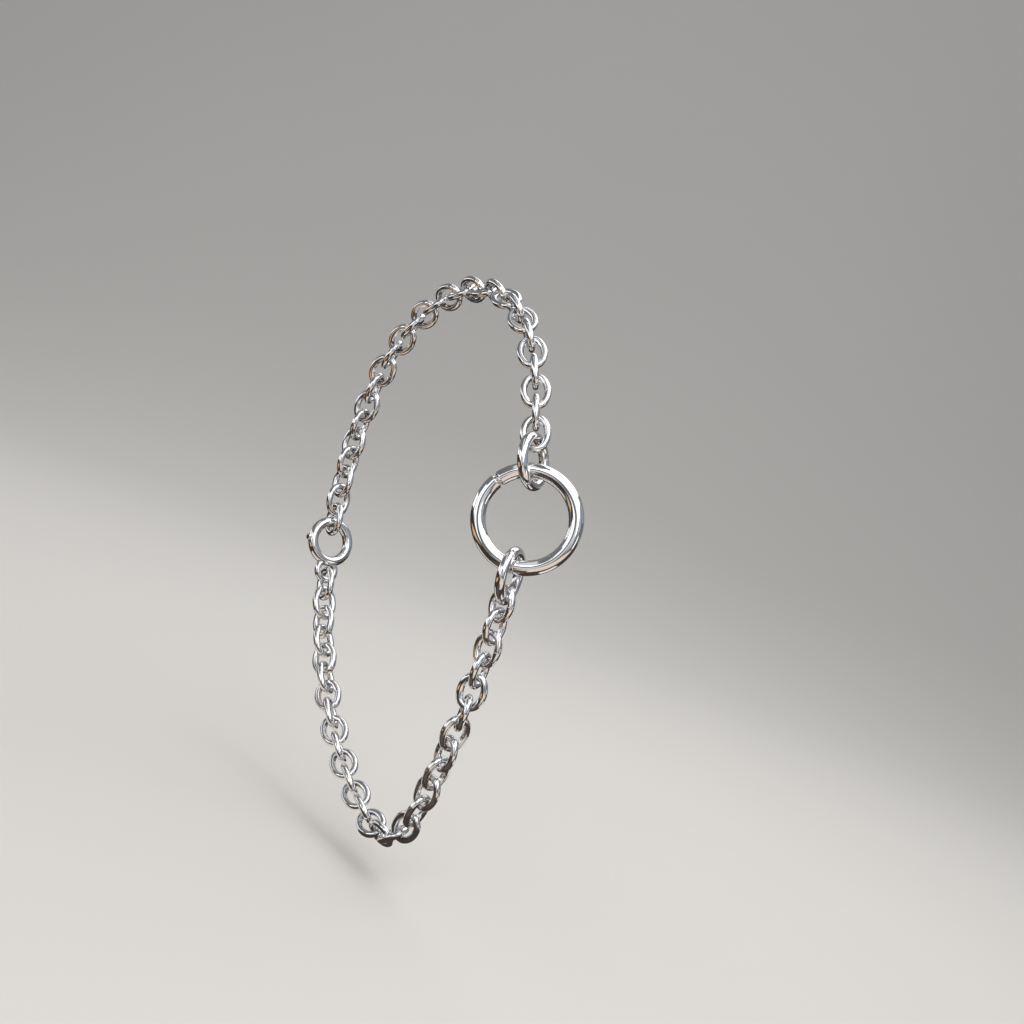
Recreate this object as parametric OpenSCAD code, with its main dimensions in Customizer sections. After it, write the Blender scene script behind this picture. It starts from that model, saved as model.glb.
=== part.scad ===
// Wrist chain with one heavy round ring at its front, closed by a plain clasp at the back.
// It keeps the loop that it forms round a wrist. Millimetres.
// The loop stands in the plane x = 0. +X points along the wrist to the hand, -Y is the front,
// +Z is up, and the origin is in the middle of the wrist.

/* [Centre ring] */
// Outside width of the centre ring
ring_od = 11.7; // [10.5:0.1:12.5]
// Thickness of the centre ring's round wire
ring_wire = 1.6; // [1.3:0.05:1.8]
// Width of the slit where the two ends of the wire meet
seam_slit = 0.1; // [0.05:0.05:0.2]
// Width of the bevel round each end of the wire
seam_bevel = 0.25; // [0.1:0.05:0.35]
// Place of the slit round the ring, in degrees from the upper chain
seam_turn = 48; // [30:1:80]

/* [Jump rings] */
// Outside width of each jump ring
jump_od = 6.2; // [6:0.1:6.6]
// Thickness of a jump ring's wire
jump_wire = 1.1; // [0.9:0.05:1.15]

/* [Links] */
// Outside length of a link
link_l = 4.15; // [4.1:0.05:4.3]
// Outside width of a link
link_w = 3.3; // [3.2:0.05:3.4]
// Thickness of a link's wire
link_wire = 0.75; // [0.6:0.05:0.75]
// Radius of the bend at each end of a link, to the middle of its wire
link_bend = 1.12; // [1.05:0.01:1.15]

/* [Clasp] */
// Outside width of the round clasp
clasp_od = 6; // [5.8:0.1:6.4]
// Thickness of the clasp's tube
clasp_tube = 1.2; // [1:0.05:1.2]
// Outside width of the eye on the clasp
eye_od = 3.1; // [3.1:0.1:3.4]
// Thickness of the eye's wire
eye_wire = 0.8; // [0.6:0.05:0.8]
// Height of the thumb stud on the clasp
stud_h = 0.8; // [0.5:0.1:1.2]
// Thickness of the thumb stud
stud_d = 0.8; // [0.6:0.1:1]

/* [Loop round the wrist] */
// Radius of the long front stretch
front_r = 73; // [60:1:90]
// Radius of the shoulder above the front
shoulder_r = 36; // [33:1:42]
// Radius of the turn over the top
top_r = 16; // [13:1:17]
// Radius of the turn under the front
corner_r = 6; // [6:0.5:9]
// Direction that the chain faces where the front stretch starts, in degrees above straight ahead
front_from = -12; // [-15:1:-8]
// Direction that it faces where the shoulder starts
front_to = 13; // [11:1:18]
// Direction that it faces where the turn over the top starts
shoulder_to = 44; // [40:1:50]
// Direction that it faces where the back starts
top_to = 104; // [98:1:110]
// Direction that the centre ring's place on the loop faces
ring_faces = 15; // [12:1:20]

/* [Lean of the pieces] */
// Turn of the centre ring about the chain, out of the wrist's surface
ring_lean = 42; // [38:1:45]
// How far the centre ring hangs off the chain's line towards the hand, in its own plane
ring_drift = 0.3; // [0:0.05:0.4]
// Turn of the upper jump ring about the chain
upper_jump_lean = -26; // [-35:1:-23]
// Turn of the lower jump ring about the chain
lower_jump_lean = -35; // [-39:1:-25]

/* [Hidden] */
$fn = 32;

steel = [0.84, 0.84, 0.86];

// Free space between two hooked rings, between a ring and the link on it, between the clasp's eye
// and its link, and the least free space between two links.
ring_play = 0.21;
hook_play = 0.32;
eye_play = 0.42;
link_play = 0.25;

// Radii of the wires' centre lines.
ring_r = (ring_od - ring_wire) / 2;
jump_r = (jump_od - jump_wire) / 2;
clasp_r = (clasp_od - clasp_tube) / 2;
eye_r = (eye_od - eye_wire) / 2;

// Half the length and half the width of a link, to the middle of its wire.
link_reach = (link_l - link_wire) / 2;
link_half = (link_w - link_wire) / 2;

// A link is an oval of four arcs. The radius of its long sides, and half the angle that each of
// them turns through, follow from its length, its width and the bend at its ends. Each side runs
// on by side_lap degrees inside the ends, and is a hair thinner so that it stays inside them.
side_r = (pow(link_reach, 2) + pow(link_half, 2) - 2 * link_reach * link_bend)
    / (2 * (link_half - link_bend));
side_turn = atan2(link_reach - link_bend, side_r - link_half);
side_lap = 2;
side_wire = link_wire - 0.01;

// Two hidden arcs close the loop at the back. They meet where the chain faces back_mid,
// and the lower one ends where it faces back_to.
back_mid = 175;
back_to = 260;

// Outward direction [y, z] of the loop where it faces a degrees above straight ahead.
function outward(a) = [-cos(a), sin(a)];

// An arc is [radius, facing at its start, facing at its end]. This is its run from start to end.
function run(arc) = arc[0] * (outward(arc[2]) - outward(arc[1]));
function run_length(arc) = arc[0] * (arc[2] - arc[1]) * PI / 180;

front_arc = [front_r, front_from, front_to];
shoulder_arc = [shoulder_r, front_to, shoulder_to];
top_arc = [top_r, shoulder_to, top_to];
corner_arc = [corner_r, back_to, front_from + 360];

// The radii of the two hidden arcs follow from the run that is still missing.
missing = -(run(front_arc) + run(shoulder_arc) + run(top_arc) + run(corner_arc));
upper_unit = run([1, top_to, back_mid]);
lower_unit = run([1, back_mid, back_to]);
unit_area = cross(upper_unit, lower_unit);
back_upper_arc = [cross(missing, lower_unit) / unit_area, top_to, back_mid];
back_lower_arc = [cross(upper_unit, missing) / unit_area, back_mid, back_to];

arcs = [front_arc, shoulder_arc, top_arc, back_upper_arc, back_lower_arc, corner_arc];

// Length and point where each arc starts, and the loop's whole length as the last entry.
function length_to(i) = i == 0 ? 0 : length_to(i - 1) + run_length(arcs[i - 1]);
function point_to(i) = i == 0 ? [0, 0] : point_to(i - 1) + run(arcs[i - 1]);
arc_lengths = [for (i = [0 : len(arcs)]) length_to(i)];
arc_points = [for (i = [0 : len(arcs)]) point_to(i)];
loop_length = arc_lengths[len(arcs)];

// Arc that holds a facing direction, and the point and the length there.
function arc_facing(a, i = 0) = a <= arcs[i][2] ? i : arc_facing(a, i + 1);
function point_facing(a) =
    let (i = arc_facing(a))
    arc_points[i] + arcs[i][0] * (outward(a) - outward(arcs[i][1]));
function length_facing(a) =
    let (i = arc_facing(a))
    arc_lengths[i] + arcs[i][0] * (a - arcs[i][1]) * PI / 180;

// Middle of the loop's box, which is the origin.
middle = [
    (point_facing(0)[0] + point_facing(180)[0]) / 2,
    (point_facing(90)[1] + point_facing(270)[1]) / 2
];
ring_start = length_facing(ring_faces);

// Facing and point at a length s along the chain, counted upwards from the centre ring.
function wrapped(s) = (s % loop_length + loop_length) % loop_length;
function arc_at(w, i = 0) = w <= arc_lengths[i + 1] ? i : arc_at(w, i + 1);
function facing(s) =
    let (w = wrapped(ring_start + s), i = arc_at(w))
    arcs[i][1] + (w - arc_lengths[i]) / arcs[i][0] * 180 / PI;
function spot(s) = point_facing(facing(s)) - middle;

// Distances along the chain from the centre ring: to a jump ring and to the first link.
jump_s = ring_r - ring_wire / 2 - ring_play - jump_wire / 2 + jump_r;
first_s = jump_s + jump_r - jump_wire / 2 - hook_play - link_wire / 2 + link_reach;

// Distances from the middle of the clasp to the last link of each chain.
eye_s = clasp_r + eye_r;
upper_hook = clasp_r - clasp_tube / 2 - hook_play - link_wire / 2 + link_reach;
lower_hook = eye_s + eye_r - eye_wire / 2 - eye_play - link_wire / 2 + link_reach;

// The links share the rest of the loop evenly, none further apart than their play allows.
pitch_max = link_l - 2 * link_wire - link_play;
chain_stretch = loop_length - 2 * first_s - upper_hook - lower_hook;
pitches = ceil(chain_stretch / pitch_max);
pitch = chain_stretch / pitches;
upper_links = floor(pitches / 2) + 1;
lower_links = pitches + 2 - upper_links;
clasp_s = first_s + (upper_links - 1) * pitch + upper_hook;

// Turn about the chain as [link, turn], with the links counted from 0 at the centre ring. Each
// second link is a quarter turn less. Behind the wrist both kinds lean alike, and the last
// square_links turn on until the end link stands square to the clasp.
quarter = 90;
even_lean = quarter / 2;
square_links = 9;
function square_lean(count) = count % 2 == 1 ? quarter : 0;
upper_lean = [
    [0, 44], [2, 38],
    [upper_links - square_links, even_lean], [upper_links - 1, square_lean(upper_links)]
];
lower_lean = [
    [0, 78], [2, 70], [4, 52], [6, 5], [8, -10], [10, -20], [14, -even_lean],
    [lower_links - square_links, -even_lean], [lower_links - 1, -square_lean(lower_links)]
];

// Places a piece on the loop at length s. The piece is drawn with its length along Z and
// lies in the plane y = 0, and lean turns that plane about the chain.
module on_loop(s, lean) {
    here = spot(s);
    translate([0, here[0], here[1]])
        rotate([-facing(s), 0, 0])
            rotate([0, 0, -lean])
                children();
}

// Closed round of wire in the plane y = 0.
module wire_round(r, wire) {
    rotate([90, 0, 0])
        rotate_extrude()
            translate([r, 0]) circle(d = wire);
}

// Arc of wire in the plane y = 0, between two angles counted from +X towards +Z.
module wire_arc(r, wire, from, to) {
    rotate([0, -from, 0])
        rotate([90, 0, 0])
            rotate_extrude(angle = to - from)
                translate([r, 0]) circle(d = wire);
}

// Oval link: a tight bend at each end and two long sides that bulge a little.
module link() {
    for (end = [0, 180])
        rotate([0, end, 0]) {
            translate([0, 0, link_reach - link_bend])
                wire_arc(link_bend, link_wire, side_turn, 180 - side_turn);
            translate([link_half - side_r, 0, 0])
                wire_arc(side_r, side_wire, -side_turn - side_lap, side_turn + side_lap);
        }
}

// Row of links along the loop. way is 1 going up from the centre ring and -1 going down.
module links(count, way, leans) {
    for (i = [0 : count - 1])
        on_loop(way * (first_s + i * pitch), lookup(i, leans) - quarter * (i % 2))
            link();
}

// Cut between the bevelled ends of the ring's wire, drawn where the wire runs along X.
module seam_cut() {
    cube([seam_slit, 2 * ring_wire, 2 * ring_wire], center = true);
    rotate([0, 90, 0])
        rotate_extrude()
            polygon([
                [ring_wire / 2 - seam_bevel, 0],
                [ring_wire, -ring_wire / 2 - seam_bevel],
                [ring_wire, ring_wire / 2 + seam_bevel]
            ]);
}

module centre_ring() {
    color(steel)
        on_loop(0, ring_lean)
            translate([ring_drift, 0, 0])
                difference() {
                    wire_round(ring_r, ring_wire);
                    rotate([0, -seam_turn, 0])
                        translate([0, 0, ring_r])
                            seam_cut();
                }
}

module upper_jump_ring() {
    color(steel)
        on_loop(jump_s, upper_jump_lean)
            wire_round(jump_r, jump_wire);
}

module lower_jump_ring() {
    color(steel)
        on_loop(-jump_s, lower_jump_lean)
            wire_round(jump_r, jump_wire);
}

module upper_chain() {
    color(steel) links(upper_links, 1, upper_lean);
}

module lower_chain() {
    color(steel) links(lower_links, -1, lower_lean);
}

// Round clasp that lies flat on the wrist, with an eye for the lower chain and a thumb stud.
module clasp() {
    color(steel)
        on_loop(clasp_s, 0) {
            wire_round(clasp_r, clasp_tube);
            translate([0, 0, eye_s])
                wire_round(eye_r, eye_wire);
            translate([-clasp_od / 2 - stud_h + clasp_tube / 2, 0, 0])
                rotate([0, 90, 0])
                    cylinder(d = stud_d, h = stud_h);
        }
}

centre_ring();
upper_jump_ring();
lower_jump_ring();
upper_chain();
lower_chain();
clasp();
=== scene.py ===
"""Looks of a steel wrist chain with a heavy centre ring, closed by a round clasp at the back.

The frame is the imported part's own: metres, +X along the wrist, -Y to the front, +Z up. Sizes are
written in millimetres, as a maker would give them, and MM turns them into metres.
"""

import logging
import math
from collections.abc import Sequence
from dataclasses import dataclass, field, replace
from enum import Enum
from typing import Any

import bpy
import numpy as np
from mathutils import Matrix


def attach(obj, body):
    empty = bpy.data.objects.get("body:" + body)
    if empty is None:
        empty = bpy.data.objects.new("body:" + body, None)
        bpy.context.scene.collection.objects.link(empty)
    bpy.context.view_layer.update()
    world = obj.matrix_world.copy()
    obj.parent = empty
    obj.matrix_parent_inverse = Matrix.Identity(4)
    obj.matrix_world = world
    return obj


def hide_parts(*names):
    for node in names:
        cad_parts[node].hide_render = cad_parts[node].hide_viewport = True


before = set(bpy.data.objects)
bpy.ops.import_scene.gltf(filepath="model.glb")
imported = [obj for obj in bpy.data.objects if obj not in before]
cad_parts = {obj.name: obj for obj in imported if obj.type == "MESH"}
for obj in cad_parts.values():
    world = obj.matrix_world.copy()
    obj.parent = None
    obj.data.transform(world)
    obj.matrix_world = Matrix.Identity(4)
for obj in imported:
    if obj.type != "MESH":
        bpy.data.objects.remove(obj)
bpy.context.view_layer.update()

RGBA = tuple[float, float, float, float]
Pair = tuple[float, float]
Triple = tuple[float, float, float]

MM = 0.001
BODY = "root"
WARM_WHITE = (1.0, 0.985, 0.96)
COOL_WHITE = (0.98, 0.98, 1.0)
PHOTO_SIDE_PX = 1024
JOINT_STEPS = (-1.6, -0.9, -0.45, -0.2, 0.0, 0.2, 0.45, 0.9, 1.6)  # degrees from a round's joint
JOINT_GAP = 0.6  # degrees left free beside a joint's own points
SOLDER_STEPS = (-0.12, -0.06, -0.025, 0.0, 0.025, 0.06, 0.12)  # millimetres from a link's joint
BEVEL_GAP = 0.07  # millimetres left free between a bevel and the ring's even points
log = logging.getLogger("bracelet")


class Slot(Enum):
    """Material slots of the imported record."""

    CENTRE_RING = "centre_ring"
    JUMP_RINGS = "jump_rings"
    CHAIN = "chain"
    CLASP = "clasp"


class Way(Enum):
    """Direction in which a row of links leaves the centre ring."""

    UP = 1
    DOWN = -1


# The loop that the chain follows.


def outward(degrees: float) -> np.ndarray:
    """Direction [y, z] that faces so many degrees above straight ahead."""
    a = math.radians(degrees)
    return np.array([-math.cos(a), math.sin(a)])


def turn_from(start: float, degrees: np.ndarray) -> np.ndarray:
    """Turn from one direction to others, between -180 and 180 degrees."""
    return (degrees - start + 180.0) % 360.0 - 180.0


def round_steps(count: int) -> np.ndarray:
    """Angles in radians, evenly spaced round a circle."""
    return np.arange(count) * 2 * np.pi / count


def in_plane(angle: np.ndarray) -> np.ndarray:
    """Unit vectors in the plane y = 0, at angles counted from X towards Z."""
    return np.stack([np.cos(angle), np.zeros_like(angle), np.sin(angle)], axis=1)


def cross(a: np.ndarray, b: np.ndarray) -> float:
    """Area spanned by two flat vectors."""
    return float(a[0] * b[1] - a[1] * b[0])


@dataclass(frozen=True)
class Arc:
    """Part of a circle, from one facing direction to another.

    Args:
        radius: radius in millimetres.
        start: facing at its start, in degrees above straight ahead.
        end: facing at its end.
    """

    radius: float
    start: float
    end: float

    def run(self) -> np.ndarray:
        """Vector from its start to its end: radius times the change of the outward direction."""
        return self.radius * (outward(self.end) - outward(self.start))

    def length(self) -> float:
        """Radius times the angle turned."""
        return self.radius * math.radians(self.end - self.start)


@dataclass(frozen=True)
class WristLoop:
    """Closed row of tangent arcs in the plane x = 0, centred on the wrist.

    Four arcs are given. Two more close the loop at the back, and their radii are solved from the
    run that is missing. Directions are in degrees above straight ahead.

    Args:
        front_r: radius of the arc at the front, in millimetres.
        shoulder_r: radius of the arc above it.
        top_r: radius of the arc over the top.
        corner_r: radius of the arc at the lower front.
        front_from: direction that the front arc faces at its start.
        front_to: direction at its end.
        shoulder_to: direction at the end of the arc above it.
        top_to: direction at the end of the arc over the top.
        ring_faces: direction that the centre ring faces.
        back_mid: direction where the two hidden arcs meet.
        back_to: direction where they end and the lower front starts.
    """

    front_r: float = 73.0
    shoulder_r: float = 36.0
    top_r: float = 16.0
    corner_r: float = 6.0
    front_from: float = -12.0
    front_to: float = 13.0
    shoulder_to: float = 44.0
    top_to: float = 104.0
    ring_faces: float = 15.0
    back_mid: float = 175.0
    back_to: float = 260.0
    arcs: tuple[Arc, ...] = field(init=False)
    lengths: tuple[float, ...] = field(init=False)
    points: tuple[np.ndarray, ...] = field(init=False)
    middle: np.ndarray = field(init=False)
    ring_start: float = field(init=False)

    def __post_init__(self) -> None:
        """Solves the two hidden arcs and lists where each arc starts."""
        front = (
            Arc(self.front_r, self.front_from, self.front_to),
            Arc(self.shoulder_r, self.front_to, self.shoulder_to),
            Arc(self.top_r, self.shoulder_to, self.top_to),
        )
        corner = Arc(self.corner_r, self.back_to, self.front_from + 360.0)
        missing = -(sum(arc.run() for arc in front) + corner.run())
        upper = Arc(1.0, self.top_to, self.back_mid).run()
        lower = Arc(1.0, self.back_mid, self.back_to).run()
        area = cross(upper, lower)
        back = (
            Arc(cross(missing, lower) / area, self.top_to, self.back_mid),
            Arc(cross(upper, missing) / area, self.back_mid, self.back_to),
        )
        arcs = (*front, *back, corner)
        lengths, points = [0.0], [np.zeros(2)]
        for arc in arcs:
            lengths.append(lengths[-1] + arc.length())
            points.append(points[-1] + arc.run())
        for name, value in (("arcs", arcs), ("lengths", tuple(lengths)), ("points", tuple(points))):
            object.__setattr__(self, name, value)
        middle = np.array([
            (self.point_facing(0.0)[0] + self.point_facing(180.0)[0]) / 2,
            (self.point_facing(90.0)[1] + self.point_facing(270.0)[1]) / 2,
        ])
        i = self.arc_facing(self.ring_faces)
        start = lengths[i] + Arc(arcs[i].radius, arcs[i].start, self.ring_faces).length()
        object.__setattr__(self, "middle", middle)
        object.__setattr__(self, "ring_start", start)

    def arc_facing(self, degrees: float) -> int:
        """Number of the first arc that ends at or after a facing direction."""
        return next(i for i, arc in enumerate(self.arcs) if degrees <= arc.end)

    def point_facing(self, degrees: float) -> np.ndarray:
        """Point [y, z] where the loop faces a direction, counted from the first arc's start."""
        i = self.arc_facing(degrees)
        return self.points[i] + Arc(self.arcs[i].radius, self.arcs[i].start, degrees).run()

    def facing(self, s: float) -> float:
        """Facing direction at a length along the chain.

        Args:
            s: millimetres along the chain, counted upwards from the centre ring.

        Returns:
            Degrees above straight ahead.
        """
        w = (self.ring_start + s) % self.lengths[-1]
        i = next(k for k in range(len(self.arcs)) if w <= self.lengths[k + 1])
        return self.arcs[i].start + math.degrees((w - self.lengths[i]) / self.arcs[i].radius)

    def place(self, points: np.ndarray, s: float, lean: float) -> np.ndarray:
        """Puts a piece on the loop.

        The piece is drawn with its length along Z, in the plane y = 0. It is turned about Z by
        the lean, then about X by the facing direction, then moved to the loop's point.

        Args:
            points: (..., 3) millimetres in the piece's own space.
            s: millimetres along the chain from the centre ring.
            lean: degrees about the chain.

        Returns:
            (..., 3) metres in the object's frame.
        """
        a, b = math.radians(-lean), math.radians(-self.facing(s))
        x = points[..., 0] * math.cos(a) - points[..., 1] * math.sin(a)
        y = points[..., 0] * math.sin(a) + points[..., 1] * math.cos(a)
        z = points[..., 2]
        here = self.point_facing(self.facing(s)) - self.middle
        turned = (
            x,
            y * math.cos(b) - z * math.sin(b) + here[0],
            y * math.sin(b) + z * math.cos(b) + here[1],
        )
        return np.stack(turned, axis=-1) * MM


# Surfaces.


@dataclass(frozen=True)
class Sheet:
    """Grid of points that makes one closed surface.

    Args:
        points: (rows, columns, 3) points. The columns go round, and so do the rows if ring is
            set. Otherwise the first and last row are poles, each one point.
        along: (rows,) millimetres along the wire.
        round_wire: (columns,) millimetres round the wire.
        rub: (rows, columns) share of the darker, rougher hook mark, 0 to 1.
        ring: whether the last row joins the first.
    """

    points: np.ndarray
    along: np.ndarray
    round_wire: np.ndarray
    rub: np.ndarray
    ring: bool

    def moved(self, x: float, y: float, z: float) -> "Sheet":
        """The same surface, moved by so many millimetres."""
        return replace(self, points=self.points + [x, y, z])

    def placed(self, loop: WristLoop, s: float, lean: float) -> "Sheet":
        """The same surface on the loop, in metres."""
        return replace(self, points=loop.place(self.points, s, lean))


def wire_sheet(
    centre: np.ndarray,
    side: np.ndarray,
    radius: np.ndarray,
    along: np.ndarray,
    rub: np.ndarray,
    ring: bool,
) -> Sheet:
    """Wire that follows a flat line in the plane y = 0.

    Point (i, j) is centre i plus radius i times the side vector by the cosine of angle j, and
    times the Y axis by its sine.

    Args:
        centre: (rows, 3) points of the wire's centre line.
        side: (rows, 3) unit vectors in the plane, square to the line, pointing to its outside.
        radius: (rows, columns) or (rows, 1) radius of the wire.
        along: (rows,) length along the line.
        rub: (rows, columns) share of the darker, rougher hook mark.
        ring: whether the line closes.

    Returns:
        The surface in millimetres.
    """
    angle = round_steps(rub.shape[1])
    across = np.array([0.0, 1.0, 0.0])
    reach = np.broadcast_to(radius, rub.shape)[..., None]
    spread = np.cos(angle)[None, :, None] * side[:, None, :] + np.sin(angle)[None, :, None] * across
    return Sheet(centre[:, None, :] + reach * spread, along, angle * float(radius.max()), rub, ring)


def grid_numbers(rows: int, columns: int) -> tuple[np.ndarray, np.ndarray]:
    """Row number and column number of each place in a grid, row by row."""
    i, j = np.meshgrid(np.arange(rows), np.arange(columns), indexing="ij")
    return i.ravel(), j.ravel()


def mesh_object(name: str, points: np.ndarray, quads: np.ndarray) -> bpy.types.Object:
    """Makes a smooth mesh object at the origin.

    Args:
        name: name of the object and its mesh.
        points: (points, 3) metres.
        quads: (faces, 4) numbers of points.

    Returns:
        The object, in the scene.
    """
    mesh = bpy.data.meshes.new(name)
    mesh.from_pydata(points.tolist(), [], quads.tolist())
    mesh.polygons.foreach_set("use_smooth", np.ones(len(quads), dtype=bool))
    made = bpy.data.objects.new(name, mesh)
    bpy.context.scene.collection.objects.link(made)
    return made


def build_mesh(name: str, sheets: list[Sheet]) -> bpy.types.Object:
    """Makes one mesh object of several closed sheets, with a UV map and an attribute for the hook
    mark.

    A quad joins points (i, j), (i + 1, j), (i + 1, j + 1) and (i, j + 1), with both numbers taken
    round the grid. The UV map "wire" holds millimetres along and round the wire.

    Args:
        name: name of the object.
        sheets: surfaces in metres.

    Returns:
        The object, at the origin.
    """
    verts, faces, uvs, rubs, base = [], [], [], [], 0
    for sheet in sheets:
        rows, columns, _ = sheet.points.shape
        i, j = grid_numbers(rows if sheet.ring else rows - 1, columns)
        up, right = (i + 1) % rows, (j + 1) % columns
        corners = [(i, j), (up, j), (up, right), (i, right)]
        faces.append(base + np.stack([a * columns + b for a, b in corners], axis=1))
        step_u = np.append(np.diff(sheet.along), sheet.along[1] - sheet.along[0])
        step_v = sheet.round_wire[1] - sheet.round_wire[0]
        u = [sheet.along[i] + k * step_u[i] for k in (0, 1, 1, 0)]
        v = [sheet.round_wire[j] + k * step_v for k in (0, 0, 1, 1)]
        uvs.append(np.stack([np.stack(u, axis=1), np.stack(v, axis=1)], axis=2))
        verts.append(sheet.points.reshape(-1, 3))
        rubs.append(sheet.rub.ravel())
        base += rows * columns
    piece = mesh_object(name, np.vstack(verts), np.vstack(faces))
    wire_map = piece.data.uv_layers.new(name="wire")
    wire_map.data.foreach_set("uv", np.vstack(uvs).astype(np.float32).ravel())
    hook_share = piece.data.attributes.new("rub", "FLOAT", "POINT")
    hook_share.data.foreach_set("value", np.concatenate(rubs).astype(np.float32))
    piece.data.validate()
    return piece


def inner_side(columns: int) -> np.ndarray:
    """Share by which each point round the wire faces the middle of its ring, 0 to 1."""
    return np.clip(-np.cos(round_steps(columns)), 0.0, 1.0)


def hairline(distance: np.ndarray, width: float, depth: float) -> np.ndarray:
    """Depth of a fine joint line: a bell curve of the distance from it."""
    return depth * np.exp(-((distance / width) ** 2))


@dataclass(frozen=True)
class RoundWire:
    """Closed round of wire with one soldered or butted joint.

    Args:
        od: outside width in millimetres.
        wire: thickness of the wire.
        joint_at: place of the joint in degrees, or None for a plain round.
        joint_width: width of the joint line.
        joint_depth: depth of the joint line.
        rows: points round the ring.
        columns: points round the wire.
    """

    od: float
    wire: float
    joint_at: float | None = None
    joint_width: float = 0.02
    joint_depth: float = 0.04
    rows: int = 128
    columns: int = 28

    def sheet(self) -> Sheet:
        """Circle in the plane y = 0 swept by the wire. The joint is a shallow bell-shaped line.

        Even points that fall among the joint's own, or just beside them, are left out.

        Returns:
            The surface in millimetres.
        """
        r = (self.od - self.wire) / 2
        degrees = np.arange(self.rows) * 360.0 / self.rows
        groove = 0.0
        if self.joint_at is not None:
            clear = np.abs(turn_from(self.joint_at, degrees)) > JOINT_STEPS[-1] + JOINT_GAP
            near = (self.joint_at + np.array(JOINT_STEPS)) % 360.0
            degrees = np.sort(np.concatenate([degrees[clear], near]))
            off = np.radians(turn_from(self.joint_at, degrees)) * r
            groove = hairline(off, self.joint_width, self.joint_depth)
        t = np.radians(degrees)
        side = in_plane(t)
        radius = np.full(len(t), self.wire / 2) - groove
        rub = inner_side(self.columns)[None, :] ** 4 * np.ones((len(t), 1))
        return wire_sheet(r * side, side, radius[:, None], t * r, rub, ring=True)


@dataclass(frozen=True)
class SeamedRing:
    """Heavy ring of one bent wire whose bevelled ends meet at a thin slit.

    Args:
        od: outside width in millimetres.
        wire: thickness of the wire.
        slit: width of the gap between the ends.
        bevel: width of the bevel on each end.
        seam_turn: degrees from the top of the ring to the slit.
        hook_spread: degrees over which the darker, rougher mark of a hooked jump ring spreads.
        rows: points along the wire, without its two ends.
        columns: points round the wire.
    """

    od: float = 11.7
    wire: float = 1.6
    slit: float = 0.1
    bevel: float = 0.25
    seam_turn: float = 48.0
    hook_spread: float = 16.0
    rows: int = 220
    columns: int = 48

    def end(self) -> np.ndarray:
        """Profile of a wire's end, from the middle of its flat face to its full thickness.

        The radius grows by one millimetre for each millimetre along the bevel, and both corners
        of the bevel are rounded over a few hundredths.

        Returns:
            (points, 2) distance from the flat face, and radius.
        """
        full = self.wire / 2
        flat = full - self.bevel
        return np.array([
            (0.0, 0.0),
            (0.0, flat * 0.5),
            (0.0, flat - 0.03),
            (0.0, flat - 0.008),
            (0.004, flat + 0.01),
            (0.018, flat + 0.03),
            (0.06, flat + 0.07),
            (0.14, flat + 0.15),
            (self.bevel - 0.08, full - 0.028),
            (self.bevel - 0.05, full - 0.012),
            (self.bevel - 0.015, full - 0.002),
            (self.bevel + 0.02, full),
        ])

    def sheet(self) -> Sheet:
        """Circle swept from one end of the wire to the other, with a pole in each end face.

        The darker, rougher hook mark is a bell curve of the angle from each hooked jump ring.

        Returns:
            The surface in millimetres.
        """
        r = (self.od - self.wire) / 2
        depth, reach = self.end().T
        whole = 2 * np.pi * r - self.slit
        clear = self.bevel + BEVEL_GAP
        even = np.linspace(clear, whole - clear, self.rows)
        s = np.concatenate([depth, even, whole - depth[::-1]])
        radius = np.concatenate([reach, np.full(self.rows, self.wire / 2), reach[::-1]])
        turn = math.radians(90.0 + self.seam_turn) + (s + self.slit / 2) / r
        side = in_plane(turn)
        top, bottom = (
            np.exp(-((turn_from(hook, np.degrees(turn)) / self.hook_spread) ** 2))
            for hook in (90.0, 270.0)
        )
        rub = np.maximum(top, bottom)[:, None] * inner_side(self.columns)[None, :] ** 2
        return wire_sheet(r * side, side, radius[:, None], s, rub, ring=False)


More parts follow.
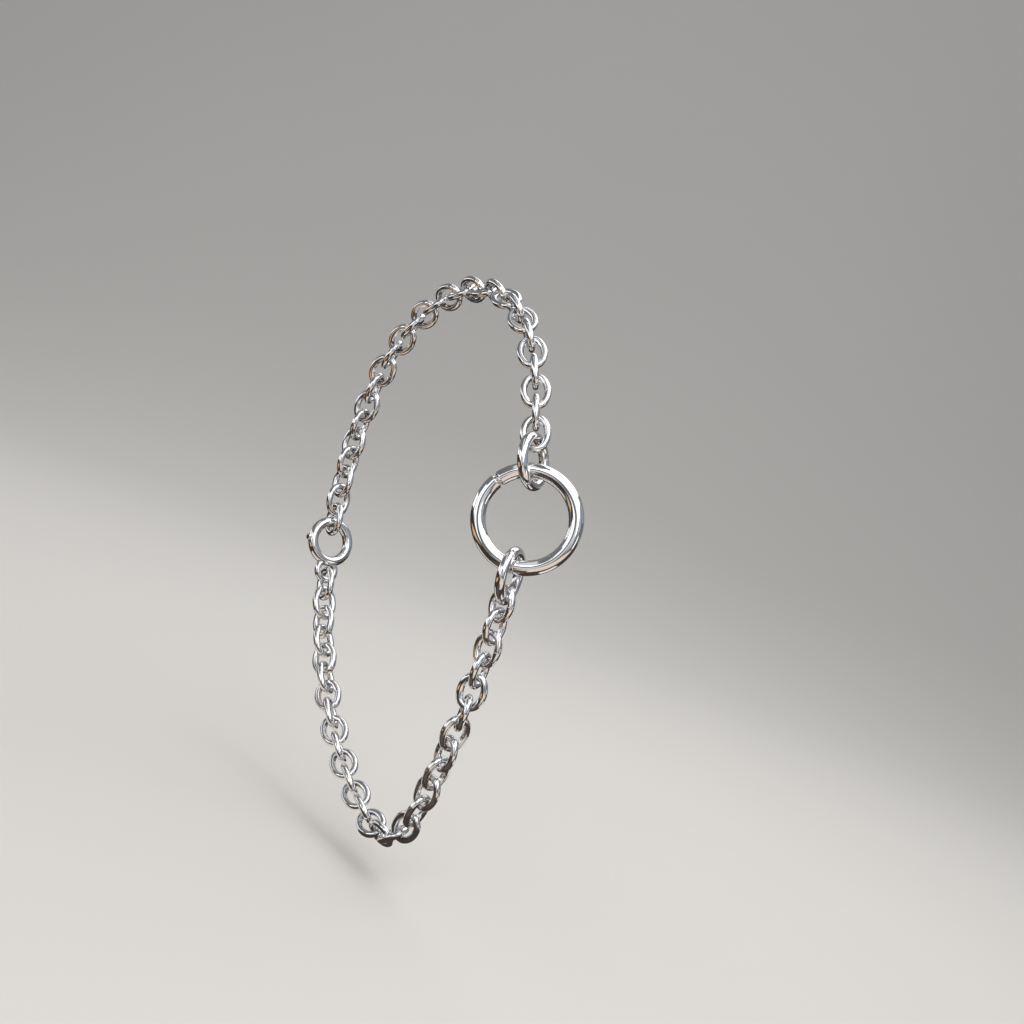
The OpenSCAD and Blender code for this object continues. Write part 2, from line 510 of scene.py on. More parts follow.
@dataclass(frozen=True)
class OvalLink:
    """Soldered oval link of round wire: a tight bend at each end and two long sides that bulge.

    Args:
        length: outside length in millimetres.
        width: outside width.
        wire: thickness of the wire.
        bend: radius of the bend at each end, to the middle of the wire.
        swelling: width and height of the swelling at the solder.
        groove: width and depth of the hairline groove in it.
        end_rows: points on each end.
        side_rows: points on each side.
        columns: points round the wire.
    """

    length: float = 4.15
    width: float = 3.3
    wire: float = 0.75
    bend: float = 1.12
    swelling: Pair = (0.08, 0.004)
    groove: Pair = (0.02, 0.014)
    end_rows: int = 20
    side_rows: int = 8
    columns: int = 20

    def sheet(self) -> Sheet:
        """Four tangent arcs swept by the wire.

        The radius of the sides follows from the length, the width and the bend. The wire is
        soldered in the middle of one side: a hairline groove between two faint swellings. It has
        the darker, rougher hook mark where the next links hang, on the inside of both ends.

        Returns:
            The surface in millimetres.
        """
        reach, half = (self.length - self.wire) / 2, (self.width - self.wire) / 2
        side_r = (reach**2 + half**2 - 2 * reach * self.bend) / (2 * (half - self.bend))
        turn = math.atan2(reach - self.bend, side_r - half)
        solder = np.array(SOLDER_STEPS) / side_r
        right = np.linspace(-turn, turn, self.side_rows)[:-1]
        first = np.sort(np.concatenate([right, solder]))
        top = np.linspace(turn, np.pi - turn, self.end_rows)[:-1]
        left = np.linspace(np.pi - turn, np.pi + turn, self.side_rows)[:-1]
        bottom = np.linspace(np.pi + turn, 2 * np.pi - turn, self.end_rows)[:-1]
        arcs = (
            # x and z of its middle, radius, angles
            (half - side_r, 0.0, side_r, first),
            (0.0, reach - self.bend, self.bend, top),
            (side_r - half, 0.0, side_r, left),
            (0.0, self.bend - reach, self.bend, bottom),
        )
        angle = np.concatenate([a for _, _, _, a in arcs])
        side = in_plane(angle)
        centre = np.vstack([[x, 0.0, z] + r * in_plane(a) for x, z, r, a in arcs])
        steps = np.linalg.norm(np.diff(centre, axis=0), axis=1)
        along = np.concatenate([[0.0], np.cumsum(steps)])
        off = np.where(np.arange(len(angle)) < len(first), angle * side_r, self.length)
        radius = self.wire / 2 + hairline(off, *self.swelling) - hairline(off, *self.groove)
        rub = np.sin(angle)[:, None] ** 4 * inner_side(self.columns)[None, :] ** 1.5
        return wire_sheet(centre, side, radius[:, None], along, rub, ring=True)


@dataclass(frozen=True)
class Stud:
    """Small round thumb stud, a lathe-turned pin with a rounded rim.

    Args:
        base: x of its start, inside the clasp's tube, in millimetres.
        tip: x of its flat end, below base.
        wire: thickness of the pin.
        columns: points round the pin.
    """

    base: float
    tip: float
    wire: float
    columns: int = 24

    def sheet(self) -> Sheet:
        """Pin along X: a profile of radius against x turned round its axis, with poles.

        Returns:
            The surface in millimetres.
        """
        r = self.wire / 2
        x, reach = np.array([
            (self.base, 0.0),
            (self.base, r),
            (self.tip + 0.12, r),
            (self.tip + 0.05, r - 0.015),
            (self.tip + 0.015, r - 0.05),
            (self.tip, r - 0.12),
            (self.tip, 0.0),
        ]).T
        angle = round_steps(self.columns)
        points = np.stack([
            np.broadcast_to(x[:, None], (len(x), self.columns)),
            reach[:, None] * np.sin(angle)[None, :],
            reach[:, None] * np.cos(angle)[None, :],
        ], axis=-1)
        return Sheet(points, np.abs(x - x[0]), angle * r, np.zeros(points.shape[:2]), ring=False)


# Shader building.


class Signal:
    """Wraps a number socket, so that arithmetic on it adds Math nodes."""

    def __init__(self, board: "Board", socket: bpy.types.NodeSocket) -> None:
        """Keeps the board that the nodes go on, and the socket."""
        self.board = board
        self.socket = socket

    def _math(self, operation: str, first: Any, second: Any) -> "Signal":
        """One Math node on two values."""
        node = self.board.node("ShaderNodeMath", {"operation": operation}, {0: first, 1: second})
        return Signal(self.board, node.outputs[0])

    def __add__(self, other: Any) -> "Signal":
        """Sum."""
        return self._math("ADD", self, other)

    __radd__ = __add__

    def __rsub__(self, other: Any) -> "Signal":
        """Another value less this one."""
        return self._math("SUBTRACT", other, self)

    def __mul__(self, other: Any) -> "Signal":
        """Product."""
        return self._math("MULTIPLY", self, other)

    __rmul__ = __mul__

    def above(self, low: float, high: float) -> "Signal":
        """Share of the way from one value to another, smooth at both ends.

        Args:
            low: value up to which the share is 0.
            high: value from which it is 1.

        Returns:
            The share.
        """
        node = self.board.node(
            "ShaderNodeMapRange",
            {"interpolation_type": "SMOOTHSTEP"},
            {"Value": self, "From Min": low, "From Max": high},
        )
        return Signal(self.board, node.outputs[0])


@dataclass(frozen=True)
class Cloud:
    """Kind of noise.

    Args:
        waves: waves per unit of its coordinates.
        detail: how many finer layers it has.
        roughness: strength of each layer against the one before.
    """

    waves: float
    detail: float
    roughness: float


class Board:
    """Node tree of one material, with one method that makes any node."""

    def __init__(self, name: str) -> None:
        """Makes a material and clears its tree.

        Args:
            name: name of the material.
        """
        self.material = bpy.data.materials.new(name)
        self.material.use_nodes = True
        self.tree = self.material.node_tree
        self.tree.nodes.clear()

    def node(self, kind: str, settings: dict[str, Any], inputs: dict[Any, Any]) -> bpy.types.Node:
        """Adds a node.

        Args:
            kind: Blender's name of the node type.
            settings: properties, which are set first.
            inputs: socket name or number to a number, a colour, a socket or a Signal.

        Returns:
            The new node.
        """
        made = self.tree.nodes.new(kind)
        for key, value in settings.items():
            setattr(made, key, value)
        for key, value in inputs.items():
            if isinstance(value, Signal):
                self.tree.links.new(value.socket, made.inputs[key])
            elif isinstance(value, bpy.types.NodeSocket):
                self.tree.links.new(value, made.inputs[key])
            else:
                made.inputs[key].default_value = value
        return made

    def noise(self, where: bpy.types.NodeSocket, cloud: Cloud) -> Signal:
        """Adds a noise texture.

        Args:
            where: its coordinates.
            cloud: kind of the noise.

        Returns:
            The noise, 0 to 1.
        """
        inputs = {"Scale": cloud.waves, "Detail": cloud.detail, "Roughness": cloud.roughness}
        node = self.node("ShaderNodeTexNoise", {}, {"Vector": where, **inputs})
        return Signal(self, node.outputs[0])

    def mix(self, share: Any, first: Any, second: Any) -> bpy.types.NodeSocket:
        """Colour between two colours."""
        node = self.node("ShaderNodeMix", {"data_type": "RGBA"}, {0: share, 6: first, 7: second})
        return node.outputs[2]

    def finish(self, shader: bpy.types.Node) -> bpy.types.Material:
        """Joins a shader to the output and returns the material."""
        self.node("ShaderNodeOutputMaterial", {}, {"Surface": shader.outputs[0]})
        return self.material


@dataclass(frozen=True)
class PolishedSteel:
    """Polished steel with slow ripples, fine polishing lines along the wire and darker, rougher
    specks where pieces hook.

    Args:
        name: name of the material.
        bright: colour of the clean metal.
        warm: colour of the faint straw tint in its patches.
        hook_grey: darker colour of the specks on the insides where pieces hook into each other.
        tint: most that the warm colour covers.
        hook_cover: most that the darker hook colour covers.
        roughness: roughness of the clean metal.
        haze: roughness that the patches add, and the specks too.
        hook_roughness: roughness that the hook specks add.
        ripple: height of the slow ripples in millimetres.
        lines: height of the polishing lines in millimetres.
        patches: kind of the patches.
        specks: kind of the dull specks.
        waviness: kind of the slow ripples.
        grain: kind of the polishing lines, on coordinates that line_scale stretches.
        line_scale: polishing lines for each millimetre along and round the wire.
    """

    name: str
    bright: RGBA = (0.80, 0.81, 0.83, 1.0)
    warm: RGBA = (0.80, 0.775, 0.74, 1.0)
    hook_grey: RGBA = (0.42, 0.41, 0.41, 1.0)
    tint: float = 0.8
    hook_cover: float = 0.75
    roughness: float = 0.07
    haze: float = 0.05
    hook_roughness: float = 0.14
    ripple: float = 0.005
    lines: float = 0.0015
    patches: Cloud = Cloud(420.0, 3.0, 0.55)
    specks: Cloud = Cloud(3200.0, 4.0, 0.65)
    waviness: Cloud = Cloud(450.0, 1.0, 0.4)
    grain: Cloud = Cloud(1.0, 3.0, 0.6)
    line_scale: Triple = (0.15, 5.0, 1.0)

    def build(self) -> bpy.types.Material:
        """Makes the material.

        The patches, dull spots and ripples are noise on Object coordinates. The polishing lines
        are noise on the wire's UV map, about thirty times finer round the wire than along it.

        Returns:
            The material.
        """
        board = Board(self.name)
        space = board.node("ShaderNodeTexCoord", {}, {}).outputs["Object"]
        wire = board.node("ShaderNodeUVMap", {"uv_map": "wire"}, {}).outputs[0]
        drawn = board.node("ShaderNodeMapping", {}, {"Vector": wire, "Scale": self.line_scale})
        hook_share = board.node("ShaderNodeAttribute", {"attribute_name": "rub"}, {})
        patches = board.noise(space, self.patches)
        specks = board.noise(space, self.specks)
        slow = board.noise(space, self.waviness)
        fine = board.noise(drawn.outputs[0], self.grain)
        # Darker, rougher specks on the insides where pieces hook into each other: the colour is
        # mixed towards a darker grey there.
        dull = Signal(board, hook_share.outputs["Fac"]) * specks.above(0.35, 0.7)
        clean = board.mix(patches.above(0.35, 0.75) * self.tint, self.bright, self.warm)
        colour = board.mix(dull * self.hook_cover, clean, self.hook_grey)
        hazy = self.haze * patches.above(0.4, 0.8) + self.haze * specks.above(0.55, 0.8)
        rough = self.roughness + hazy + self.hook_roughness * dull
        height = slow * (self.ripple * MM) + fine * (self.lines * MM)
        bump = board.node(
            "ShaderNodeBump",
            {},
            {"Strength": 1.0, "Distance": 1.0, "Height": height},
        )
        steel = board.node(
            "ShaderNodeBsdfPrincipled",
            {},
            {"Base Color": colour, "Metallic": 1.0, "Roughness": rough, "Normal": bump.outputs[0]},
        )
        return board.finish(steel)


@dataclass(frozen=True)
class PaleGround:
    """Matt pale studio ground, with a faint unevenness.

    Args:
        name: name of the material.
        light: its lighter colour.
        shade: its darker colour.
        cloud: kind of its unevenness.
        glow: brightness that is added high up, as from lamps out of view.
        glow_from: height in millimetres at which the glow starts.
        glow_to: height at which it is full.
        back: direction away from the camera, along the floor.
        glow_back: millimetres along it, from the object, over which the glow fades away.
    """

    name: str = "pale_ground"
    light: RGBA = (0.80, 0.775, 0.735, 1.0)
    shade: RGBA = (0.77, 0.745, 0.705, 1.0)
    cloud: Cloud = Cloud(9.0, 3.0, 0.5)
    glow: float = 0.0
    glow_from: float = -33.0
    glow_to: float = 120.0
    back: Pair = (0.0, 1.0)
    glow_back: float = 300.0

    def build(self) -> bpy.types.Material:
        """Makes the material: two close tones mixed by slow noise, hardly any gloss, and a glow.

        The glow grows with the height and fades to the back: the product of two shares.

        Returns:
            The material.
        """
        board = Board(self.name)
        space = board.node("ShaderNodeTexCoord", {}, {}).outputs["Object"]
        colour = board.mix(board.noise(space, self.cloud), self.light, self.shade)
        parts = board.node("ShaderNodeSeparateXYZ", {}, {0: space}).outputs
        x, y, z = (Signal(board, parts[axis]) for axis in "XYZ")
        behind = (x * self.back[0] + y * self.back[1]).above(0.0, self.glow_back * MM)
        lit = z.above(self.glow_from * MM, self.glow_to * MM) * (1.0 - behind)
        matt = board.node(
            "ShaderNodeBsdfPrincipled",
            {},
            {
                "Base Color": colour,
                "Roughness": 0.9,
                "Specular IOR Level": 0.1,
                "Emission Color": board.mix(lit, (0.0, 0.0, 0.0, 1.0), self.light),
                "Emission Strength": self.glow,
            },
        )
        return board.finish(matt)


def open_grid(name: str, points: np.ndarray, material: bpy.types.Material) -> bpy.types.Object:
    """Makes a stage object of one open grid of points.

    Args:
        name: name of the object.
        points: (rows, columns, 3) metres.
        material: its material.

    Returns:
        The object, marked as stage.
    """
    rows, columns, _ = points.shape
    i, j = grid_numbers(rows - 1, columns - 1)
    corner = i * columns + j
    quads = np.stack([corner, corner + columns, corner + columns + 1, corner + 1], axis=1)
    made = mesh_object(name, points.reshape(-1, 3), quads)
    made.data.materials.append(material)
    return made


# Sub-assemblies.


def hand_over(
    piece: bpy.types.Object, node: str, material: bpy.types.Material
) -> None:
    """Dresses a piece, puts it on the body and lets it stand for its CAD node.

    Args:
        piece: the new piece.
        node: the CAD node that it replaces.
        material: its finish.
    """
    piece.data.materials.append(material)
    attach(piece, BODY)
    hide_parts(node)
    log.info("%s: %d faces", piece.name, len(piece.data.polygons))


@dataclass(frozen=True)
class RingGroup:
    """Centre ring and the two jump rings that hold it.

    Args:
        loop: the loop that the chain follows.
        ring: the centre ring.
        jump: one jump ring.
        play: free space between two hooked rings.
        ring_lean: turn of the centre ring about the chain.
        ring_drift: how far the centre ring hangs off the chain's line, in its own plane.
        upper_lean: turn of the upper jump ring.
        lower_lean: turn of the lower jump ring.
    """

    loop: WristLoop
    ring: SeamedRing = SeamedRing()
    jump: RoundWire = RoundWire(6.2, 1.1, joint_at=20.0)
    play: float = 0.21
    ring_lean: float = 42.0
    ring_drift: float = 0.3
    upper_lean: float = -26.0
    lower_lean: float = -35.0

    def jump_reach(self) -> float:
        """Distance from the centre ring's middle to a jump ring's middle."""
        inner = self.ring.od / 2 - self.ring.wire
        return inner - self.play + (self.jump.od / 2 - self.jump.wire)

    def hook(self) -> float:
        """Distance from the centre ring's middle to the inside end of a jump ring."""
        return self.jump_reach() + self.jump.od / 2 - self.jump.wire

    def build(self) -> None:
        """Builds and dresses the three rings."""
        heavy = PolishedSteel("ring_steel", roughness=0.075, ripple=0.010).build()
        light = PolishedSteel("jump_ring_steel", roughness=0.08).build()
        reach = self.jump_reach()
        centre = self.ring.sheet().moved(self.ring_drift, 0.0, 0.0)
        jump = self.jump.sheet()
        middle = centre.placed(self.loop, 0.0, self.ring_lean)
        upper = jump.placed(self.loop, reach, self.upper_lean)
        lower = jump.placed(self.loop, -reach, self.lower_lean)
        rows = (
            ("ring_body", "centre_ring", Slot.CENTRE_RING, middle, heavy),
            ("jump_ring_top", "upper_jump_ring", Slot.JUMP_RINGS, upper, light),
            ("jump_ring_bottom", "lower_jump_ring", Slot.JUMP_RINGS, lower, light),
        )
        for name, node, slot, sheet, steel in rows:
            hand_over(build_mesh(name, [sheet]), node, steel)


@dataclass(frozen=True)
class Clasp:
    """Plain round clasp with an eye and a thumb stud.

    Args:
        body: the clasp's round tube.
        eye: the small round that the lower chain hangs in.
        stud_d: thickness of the thumb stud.
        stud_h: height of the thumb stud.
        eye_play: free space between the eye and its link.
    """

    body: RoundWire = RoundWire(6.0, 1.2)
    eye: RoundWire = RoundWire(3.1, 0.8, rows=72, columns=20)
    stud_d: float = 0.8
    stud_h: float = 0.8
    eye_play: float = 0.42

    def eye_reach(self) -> float:
        """Distance between the middles of the body and the eye."""
        return (self.body.od - self.body.wire) / 2 + (self.eye.od - self.eye.wire) / 2

    def build(self, loop: WristLoop, s: float) -> None:
        """Builds and dresses the clasp.

        Args:
            loop: the loop that the chain follows.
            s: millimetres along the chain from the centre ring.
        """
        eye = self.eye.sheet().moved(0.0, 0.0, self.eye_reach())
        base = -(self.body.od - self.body.wire) / 2
        stud = Stud(base, -self.body.od / 2 - self.stud_h + self.body.wire / 2, self.stud_d)
        sheets = [part.placed(loop, s, 0.0) for part in (self.body.sheet(), eye, stud.sheet())]
        steel = PolishedSteel("clasp_steel", roughness=0.09).build()
        hand_over(build_mesh("clasp_body", sheets), "clasp", steel)


@dataclass(frozen=True)
class Chain:
    """Both rows of oval links, shared out evenly between the jump rings and the clasp.

    Args:
        loop: the loop that they follow.
        rings: the ring group that they hang on.
        clasp: the clasp that joins them.
        link: one link.
        play: least free space between two links.
        hook_play: free space between a ring and the link on it.
        square_links: links over which each row turns square to the clasp.
        hidden_turn: turn of the links behind the wrist, the other way in the lower row.
        upper_turns: link number and turn in degrees, near the ring in the upper row.
        lower_turns: the same in the lower row.
    """

    loop: WristLoop
    rings: RingGroup
    clasp: Clasp
    link: OvalLink = OvalLink()
    play: float = 0.25
    hook_play: float = 0.32
    square_links: int = 9
    hidden_turn: float = 45.0
    upper_turns: tuple[tuple[int, float], ...] = ((0, 44.0), (2, 38.0))
    lower_turns: tuple[tuple[int, float], ...] = (
        (0, 78.0),
        (2, 70.0),
        (4, 52.0),
        (6, 5.0),
        (8, -10.0),
        (10, -20.0),
        (14, -45.0),
    )

    def reach(self) -> float:
        """Distance from a link's middle to its end's centre line."""
        return (self.link.length - self.link.wire) / 2

    def first(self) -> float:
        """Distance from the centre ring's middle to the first link's middle."""
        return self.rings.hook() - self.hook_play - self.link.wire / 2 + self.reach()

    def upper_hook(self) -> float:
        """Distance from the last upper link's middle to the clasp's middle."""
        body = self.clasp.body
        return body.od / 2 - body.wire - self.hook_play - self.link.wire / 2 + self.reach()

    def lower_hook(self) -> float:
        """Adds up the way from the clasp's middle to the last lower link's middle.

        Returns:
            The distance in millimetres.
        """
        inner = self.clasp.eye.od / 2 - self.clasp.eye.wire
        end = inner - self.clasp.eye_play - self.link.wire / 2 + self.reach()
        return self.clasp.eye_reach() + end

    def counts(self) -> tuple[int, int, float]:
        """Shares the loop out between as few links as can hook into each other.

        Returns:
            Links in the upper row, links in the lower row, and the distance between two links.
        """
        widest = self.link.length - 2 * self.link.wire - self.play
        stretch = self.loop.lengths[-1] - 2 * self.first() - self.upper_hook() - self.lower_hook()
        steps = math.ceil(stretch / widest)
        upper = steps // 2 + 1
        return upper, steps + 2 - upper, stretch / steps

    def leans(self, way: Way, count: int) -> np.ndarray:
        """Turn of each link about the chain.

        Straight lines between a few turns read near the ring, then an even lean behind the
        wrist, then a turn until the end link is square to the clasp. Each second link is a
        quarter turn less.

        Args:
            way: the row.
            count: number of its links.

        Returns:
            (count,) degrees.
        """
        square = 90.0 if count % 2 else 0.0
        table = (
            *(self.upper_turns if way is Way.UP else self.lower_turns),
            (count - self.square_links, way.value * self.hidden_turn),
            (count - 1, way.value * square),
        )
        numbers, turns = zip(*table)
        i = np.arange(count)
        return np.interp(i, numbers, turns) - 90.0 * (i % 2)

    def build(self) -> None:
        """Builds and dresses both rows and the clasp."""
        upper, lower, pitch = self.counts()
        one = self.link.sheet()
        rows = (
            ("links_over_wrist", "upper_chain", Way.UP, upper),
            ("links_under_wrist", "lower_chain", Way.DOWN, lower),
        )
        steel = PolishedSteel("chain_steel", roughness=0.085).build()
        for name, node, way, count in rows:
            links = [
                one.placed(self.loop, way.value * (self.first() + i * pitch), lean)
                for i, lean in enumerate(self.leans(way, count))
            ]
            hand_over(build_mesh(name, links), node, steel)
        self.clasp.build(self.loop, self.first() + (upper - 1) * pitch + self.upper_hook())


# Studio.


def stand(
    thing: bpy.types.Object, right: np.ndarray, up: np.ndarray, back: np.ndarray, place: np.ndarray
) -> None:
    """Puts a camera or a lamp in the scene, looking against its back vector.

    Args:
        thing: the camera or lamp.
        right: unit vector to its right.
        up: unit vector upwards.
        back: unit vector away from what it looks at.
        place: its place in metres.
    """
    matrix = np.eye(4)
    matrix[:3, 0], matrix[:3, 1], matrix[:3, 2], matrix[:3, 3] = right, up, back, place
    thing.matrix_world = Matrix(matrix.tolist())
    bpy.context.scene.collection.objects.link(thing)


@dataclass(frozen=True)
class Camera:
    """Pinhole camera at the photograph's angle.

    Args:
        focal_px: focal length in pixels of the photograph.
        px_per_mm: scale at the centre ring.
        azimuth: degrees round the object from straight ahead.
        elevation: degrees above the horizon.
        roll: degrees that the camera is turned about its own axis.
        ring_px: where the centre ring's middle falls, in pixels from the top left corner.
    """

    focal_px: float = 1600.0
    px_per_mm: float = 9.8
    azimuth: float = -35.8
    elevation: float = 6.5
    roll: float = 20.7
    ring_px: Pair = (524.2, 518.4)

    def axes(self) -> tuple[np.ndarray, np.ndarray, np.ndarray]:
        """Works out the camera's directions from its azimuth, elevation and roll.

        Returns:
            Unit vectors to its right, upwards and backwards, in the object's frame.
        """
        az, el, roll = (math.radians(v) for v in (self.azimuth, self.elevation, self.roll))
        back = np.array([math.sin(az) * math.cos(el), -math.cos(az) * math.cos(el), math.sin(el)])
        right = np.cross(-back, [0.0, 0.0, 1.0])
        right /= np.linalg.norm(right)
        up = np.cross(right, -back)
        return (
            right * math.cos(roll) + up * math.sin(roll),
            up * math.cos(roll) - right * math.sin(roll),
            back,
        )

    def build(self, ring: np.ndarray) -> None:
        """Makes the scene's camera.

        Args:
            ring: middle of the centre ring in metres.
        """
        right, up, back = self.axes()
        off = np.array([PHOTO_SIDE_PX / 2 - self.ring_px[0], self.ring_px[1] - PHOTO_SIDE_PX / 2])
        aim = ring + (off[0] * right + off[1] * up) / self.px_per_mm * MM
        eye = aim + back * (self.focal_px / self.px_per_mm * MM)
        data = bpy.data.cameras.new("photo_camera")
        data.sensor_width = 36.0
        data.lens = self.focal_px / PHOTO_SIDE_PX * data.sensor_width
        data.clip_start, data.clip_end = 0.005, 20.0
        camera = bpy.data.objects.new("photo_camera", data)
        stand(camera, right, up, back, eye)
        bpy.context.scene.camera = camera


def area_lamp(
    name: str,
    size: Sequence[float],
    level: float,
    right: np.ndarray,
    back: np.ndarray,
    place: np.ndarray,
) -> bpy.types.Object:
    """Makes a rectangular lamp that the camera doesn't see.

    Args:
        name: name of the lamp.
        size: width and height in metres.
        level: brightness of its face, where 1 is full white.
        right: unit vector to its right.
        back: unit vector away from what it lights.
        place: its place in metres.

    Returns:
        The lamp.
    """
    data = bpy.data.lights.new(name, "AREA")
    data.shape = "RECTANGLE"
    data.size, data.size_y = size
    data.energy = level * math.pi * data.size * data.size_y
    lamp = bpy.data.objects.new(name, data)
    lamp.visible_camera = False
    stand(lamp, right, np.cross(back, right), back, place)
    return lamp


@dataclass(frozen=True)
class SoftLight:
    """Rectangular soft light, placed by the direction in which the centre ring mirrors it.

    Args:
        name: name of the light.
        clock: direction in the picture, in degrees clockwise from straight up.
        off_axis: degrees away from the line between the centre ring and the camera.
        wide: width across the clock direction, in degrees as the ring sees it.
        deep: depth along the line to the camera, in the same degrees.
        level: brightness of its face, where 1 is full white.
        colour: its colour.
        distance: millimetres from the centre ring.
    """

    name: str
    clock: float
    off_axis: float
    wide: float
    deep: float
    level: float
    colour: Triple = (1.0, 1.0, 1.0)
    distance: float = 200.0

    def build(self, camera: Camera, ring: np.ndarray) -> None:
        """Makes the light, facing the centre ring.

        Args:
            camera: the camera, whose axes give the directions.
            ring: middle of the centre ring in metres.
        """
        clock, off = math.radians(self.clock), math.radians(self.off_axis)
        right, up, back = camera.axes()
        aside = math.sin(clock) * right + math.cos(clock) * up
        ahead = math.cos(off) * back + math.sin(off) * aside
        across = math.cos(clock) * right - math.sin(clock) * up
        size = [
            2 * self.distance * MM * math.tan(math.radians(span / 2))
            for span in (self.wide, self.deep)
        ]
        place = ring + ahead * self.distance * MM
        area_lamp(self.name, size, self.level, across, ahead, place).data.color = self.colour


@dataclass(frozen=True)
class Card:
    """Plain flat card that only polished metal mirrors, as in a jeweller's light tent.

    Its place counts from the centre ring: to the camera's right, away from the camera, and up.

    Args:
        name: name of the card.
        corner: its near left corner in millimetres.
        size: its width and depth in millimetres.
        tone: brightness that it shows, where 1 is full white.
    """

    name: str
    corner: Triple
    size: Pair
    tone: Triple

    def build(self, axes: np.ndarray, ring: np.ndarray) -> None:
        """Makes the card, which gives no light or shadow to the ground.

        Args:
            axes: (3, 3) rows to the camera's right, away from it, and up.
            ring: middle of the centre ring in metres.
        """
        board = Board(self.name)
        face = board.node("ShaderNodeEmission", {}, {"Color": (*self.tone, 1.0), "Strength": 1.0})
        width, depth = self.size
        edges = [[(0.0, 0.0, 0.0), (0.0, depth, 0.0)], [(width, 0.0, 0.0), (width, depth, 0.0)]]
        spread = np.array(self.corner) + np.array(edges)
        card = open_grid(self.name, ring + spread @ axes * MM, board.finish(face))
        card.visible_camera = card.visible_diffuse = card.visible_shadow = False


@dataclass(frozen=True)
class Studio:
    """Pale seamless ground, soft lights, cards for the metal to mirror, and a dim even world.

    Args:
        floor_z: height of the floor in millimetres.
        floor_side: millimetres from the middle to the floor's sides.
        floor_rows: millimetres behind the middle of the rows of points on the flat floor.
        sweep_from: millimetres behind the middle where the ground starts to sweep up.
        sweep_r: radius of the sweep.
        wall_rises: heights on the wall above the sweep.
        surround_side: millimetres from the middle to where the sweep starts at the sides.
        surround_glow: brightness added to the surround.
        sky: colour of the even light.
        world: strength of the even light.
        wash_level: brightness of the light that washes the back of the ground.
        wash_size: its width and height in metres.
        wash_tilt: degrees by which it points below the horizon.
        wash_place: millimetres behind and above the middle.
        lights: the soft lights.
        cards: the mirrored cards.
    """

    floor_z: float = -33.0
    floor_side: float = 900.0
    floor_rows: Triple = (-900.0, -300.0, 0.0)
    sweep_from: float = 160.0
    sweep_r: float = 400.0
    wall_rises: Pair = (700.0, 1300.0)
    surround_side: float = 360.0
    surround_glow: float = 0.18
    sky: RGBA = (0.86, 0.91, 1.0, 1.0)
    world: float = 0.20
    wash_level: float = 0.8
    wash_size: Pair = (0.7, 0.35)
    wash_tilt: float = 12.0
    wash_place: Pair = (60.0, 330.0)
    lights: tuple[SoftLight, ...] = (
        SoftLight("key_front", 32.0, 24.0, 56.0, 18.0, 1.4, WARM_WHITE),
        SoftLight("key_middle", 38.0, 46.0, 50.0, 20.0, 1.8, WARM_WHITE),
        SoftLight("key_top", 42.0, 72.0, 48.0, 28.0, 2.2, WARM_WHITE),
        SoftLight("key_crown", 38.0, 100.0, 46.0, 22.0, 2.0, WARM_WHITE),
        SoftLight("key_back", 30.0, 126.0, 50.0, 24.0, 1.8, (0.97, 0.97, 1.0)),
        SoftLight("top_left", 351.0, 62.0, 18.0, 72.0, 0.62, WARM_WHITE),
        SoftLight("left_front", 302.0, 38.0, 32.0, 22.0, 1.3, COOL_WHITE),
        SoftLight("left_side", 299.0, 63.0, 26.0, 18.0, 1.4, COOL_WHITE),
        SoftLight("left_back", 294.0, 104.0, 13.0, 44.0, 1.25, (0.97, 0.98, 1.0)),
        SoftLight("right_front", 84.0, 26.0, 34.0, 14.0, 0.60, (0.90, 0.93, 1.0)),
        SoftLight("right_side", 82.0, 58.0, 28.0, 26.0, 0.35, (0.82, 0.88, 1.0)),
        SoftLight("right_back", 78.0, 100.0, 24.0, 34.0, 0.24, (0.78, 0.86, 1.0)),
        SoftLight("right_spark", 112.0, 72.0, 16.0, 12.0, 1.6, (1.0, 0.98, 0.97)),
        SoftLight("front_fill", 339.3, 2.0, 40.0, 16.0, 0.6, (1.0, 0.95, 0.93), 260.0),
    )
    cards: tuple[Card, ...] = (
        Card("dark_left", (-500.0, -160.0, -40.8), (490.0, 560.0), (0.050, 0.040, 0.034)),
        Card("dark_back", (-10.0, -32.0, -40.8), (510.0, 432.0), (0.060, 0.048, 0.042)),
        Card("gold_front", (-10.0, -400.0, -40.8), (230.0, 355.0), (0.92, 0.76, 0.62)),
        Card("gold_left", (-112.0, -62.0, -40.4), (50.0, 78.0), (0.72, 0.45, 0.24)),
        Card("brown_front", (-22.0, -64.0, -40.4), (32.0, 56.0), (0.115, 0.085, 0.068)),
        Card("pale_under", (-42.0, 6.0, -40.4), (48.0, 30.0), (0.74, 0.69, 0.62)),
        Card("pale_right", (25.0, -8.0, -40.4), (26.0, 40.0), (0.92, 0.90, 0.88)),
    )

    def sweep(self) -> tuple[np.ndarray, np.ndarray]:
        """Works out the profile of a quarter circle and the wall above it.

        Returns:
            Reach and rise of its points, in millimetres.
        """
        turn = np.linspace(0.0, np.pi / 2, 24)
        reach = np.concatenate([self.sweep_r * np.sin(turn), [self.sweep_r, self.sweep_r]])
        rise = np.concatenate([self.sweep_r * (1 - np.cos(turn)), self.wall_rises])
        return reach, rise

    def ground(self, axes: np.ndarray) -> None:
        """Pale floor that sweeps up behind the object.

        The profile goes flat along the line of sight, round a quarter circle and up, and is
        carried sideways.

        Args:
            axes: (3, 3) rows to the camera's right, away from it, and up.
        """
        reach, rise = self.sweep()
        reach = np.concatenate([self.floor_rows, self.sweep_from + reach])
        rise = np.concatenate([np.zeros(len(self.floor_rows)), rise]) + self.floor_z
        side = np.linspace(-self.floor_side, self.floor_side, 25)
        points = (
            side[None, :, None] * axes[0]
            + reach[:, None, None] * axes[1]
            + rise[:, None, None] * axes[2]
        )
        open_grid("pale_floor", points * MM, PaleGround().build())

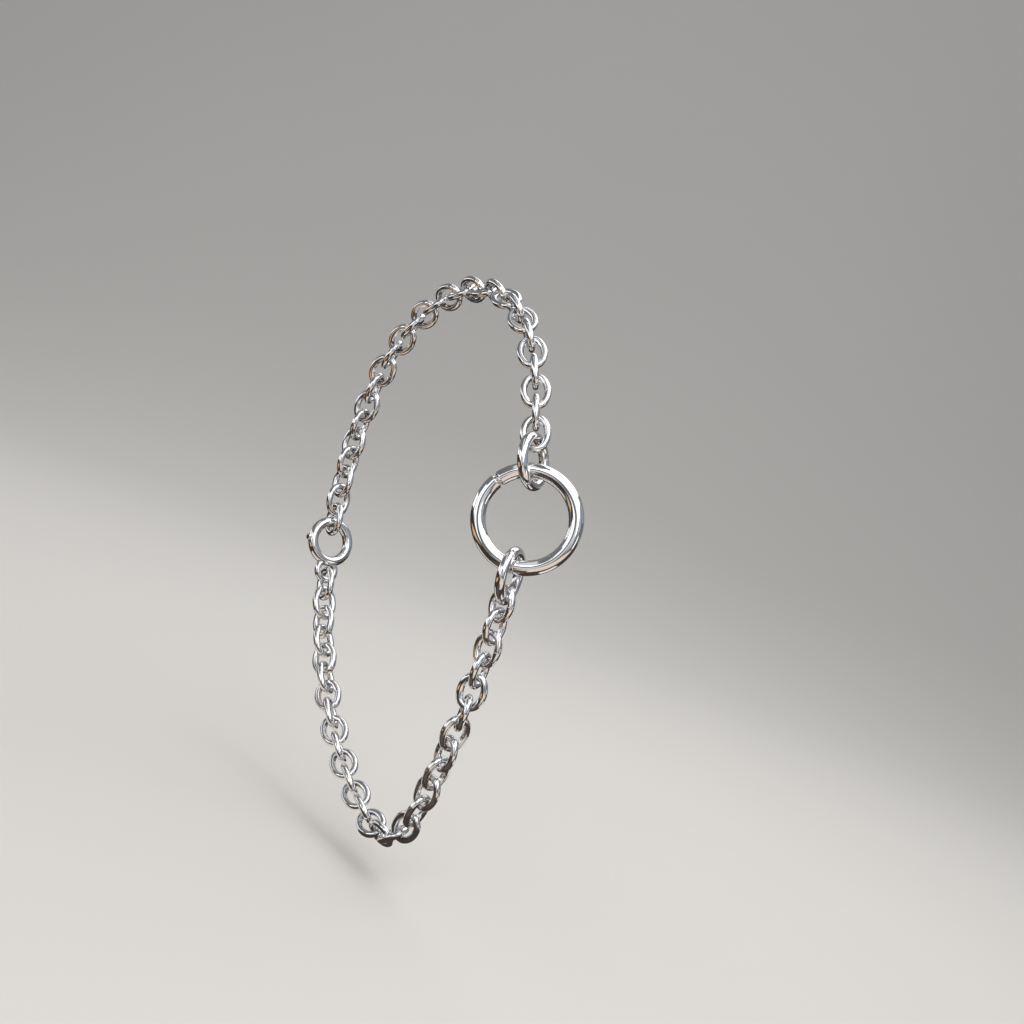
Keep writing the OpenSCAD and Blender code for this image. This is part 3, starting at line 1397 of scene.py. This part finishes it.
    def surround(self, axes: np.ndarray) -> None:
        """Sides and front of the studio, for looking from elsewhere.

        The sweep is carried round a rectangle with wide round corners, which is open towards
        the ground's own sweep. Only the camera sees it, so it changes neither the light nor
        what the metal mirrors.

        Args:
            axes: (3, 3) rows to the camera's right, away from it, and up.
        """
        reach, rise = self.sweep()
        quarter = np.radians(np.linspace(0.0, 90.0, 13))
        facing = np.concatenate([quarter + k * np.pi / 2 for k in range(4)])
        signs = np.array([(1, 1), (1, -1), (-1, -1), (-1, 1)])
        corner = np.repeat(signs * (self.surround_side, self.sweep_from), len(quarter), axis=0)
        outwards = np.stack([np.sin(facing), np.cos(facing)], axis=1)
        plan = corner + reach[:, None, None] * outwards
        points = plan @ axes[:2] + (rise[:, None, None] + self.floor_z) * axes[2]
        back = tuple(axes[1][:2].tolist())
        paint = PaleGround("pale_surround", glow=self.surround_glow, back=back).build()
        made = open_grid("pale_surround", points * MM, paint)
        made.visible_diffuse = made.visible_glossy = made.visible_shadow = False

    def wall_wash(self, axes: np.ndarray) -> None:
        """Wide soft light above the object that faces the wall and isn't mirrored.

        Args:
            axes: (3, 3) rows to the camera's right, away from it, and up.
        """
        tilt = math.radians(self.wash_tilt)
        back = axes[2] * math.sin(tilt) - axes[1] * math.cos(tilt)
        place = np.array(self.wash_place) @ axes[1:] * MM
        lamp = area_lamp("wall_wash", self.wash_size, self.wash_level, axes[0], back, place)
        lamp.visible_glossy = False

    def build(self, camera: Camera, ring: np.ndarray) -> None:
        """Makes the ground, the world, the lights and the cards.

        Args:
            camera: the camera, whose line of sight the studio follows.
            ring: middle of the centre ring in metres.
        """
        scene = bpy.context.scene
        scene.world = bpy.data.worlds.new("studio")
        scene.world.use_nodes = True
        sky = scene.world.node_tree.nodes["Background"].inputs
        sky["Color"].default_value = self.sky
        sky["Strength"].default_value = self.world
        scene.view_settings.view_transform = "Standard"
        scene.view_settings.look = "None"
        line = math.radians(camera.azimuth)
        axes = np.array([
            [math.cos(line), math.sin(line), 0.0],
            [-math.sin(line), math.cos(line), 0.0],
            [0.0, 0.0, 1.0],
        ])
        self.ground(axes)
        self.surround(axes)
        self.wall_wash(axes)
        for card in self.cards:
            card.build(axes, ring)
        for light in self.lights:
            light.build(camera, ring)


def main() -> None:
    """Builds the rings, the chain, the clasp and the studio."""
    logging.basicConfig(level=logging.INFO, format="%(message)s")
    loop = WristLoop()
    rings = RingGroup(loop)
    rings.build()
    Chain(loop, rings, Clasp()).build()
    ring_middle = loop.place(np.zeros(3), 0.0, 0.0)
    camera = Camera()
    camera.build(ring_middle)
    Studio().build(camera, ring_middle)


if __name__ == "__main__":
    main()
